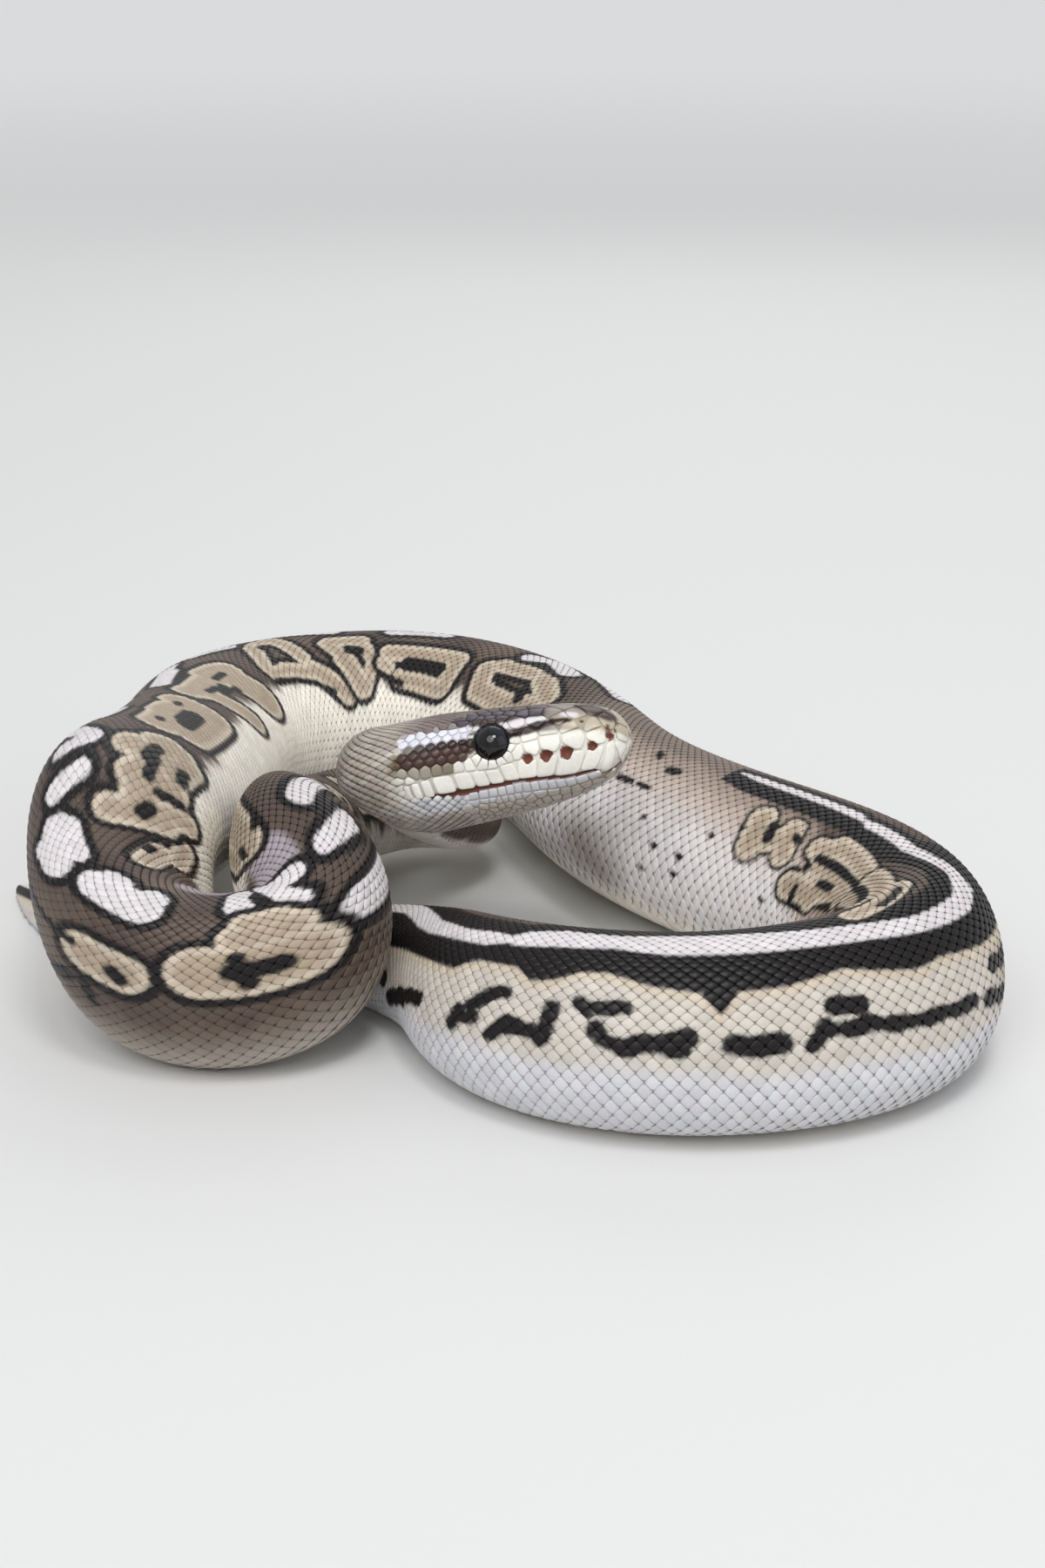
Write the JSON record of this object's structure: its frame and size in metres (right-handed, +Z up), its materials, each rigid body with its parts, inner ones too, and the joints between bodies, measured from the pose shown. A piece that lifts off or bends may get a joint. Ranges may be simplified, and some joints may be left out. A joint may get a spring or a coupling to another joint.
{
  "type": "coiled young ball python, still life-size model",
  "caption": "Young ball python lying in a loose coil, head resting on its raised fore trunk, tail tucked under the body, as a still life-size museum model.",
  "frame": {"origin": "on the floor, under the middle of the coil's bounding box", "axes": "+Z up; -Y is the object's front, where the front strip of the coil lies; +X is the way the head points"},
  "size_m": [0.1252, 0.1312, 0.0364],
  "materials": {
    "scaled_skin": "overlapping smooth scales with a soft satin sheen; tan blotches edged with near-black on brown, pale spots along the back, cream belly",
    "eye": "wet gloss, near-black"
  },
  "bodies": {
    "root": {"head": "scaled_skin", "lower_jaw": "scaled_skin", "eye_left": "eye", "eye_right": "eye", "neck_upper": "scaled_skin", "neck_lower": "scaled_skin", "trunk_fore_raised": "scaled_skin", "trunk_front_fold": "scaled_skin", "trunk_left_side": "scaled_skin", "trunk_left_rear": "scaled_skin", "trunk_rear": "scaled_skin", "trunk_right_rear": "scaled_skin", "trunk_right_side": "scaled_skin", "trunk_right_turn": "scaled_skin", "trunk_front": "scaled_skin", "trunk_hind": "scaled_skin", "tail_base": "scaled_skin", "tail_tip": "scaled_skin"}
  },
  "joints": []
}
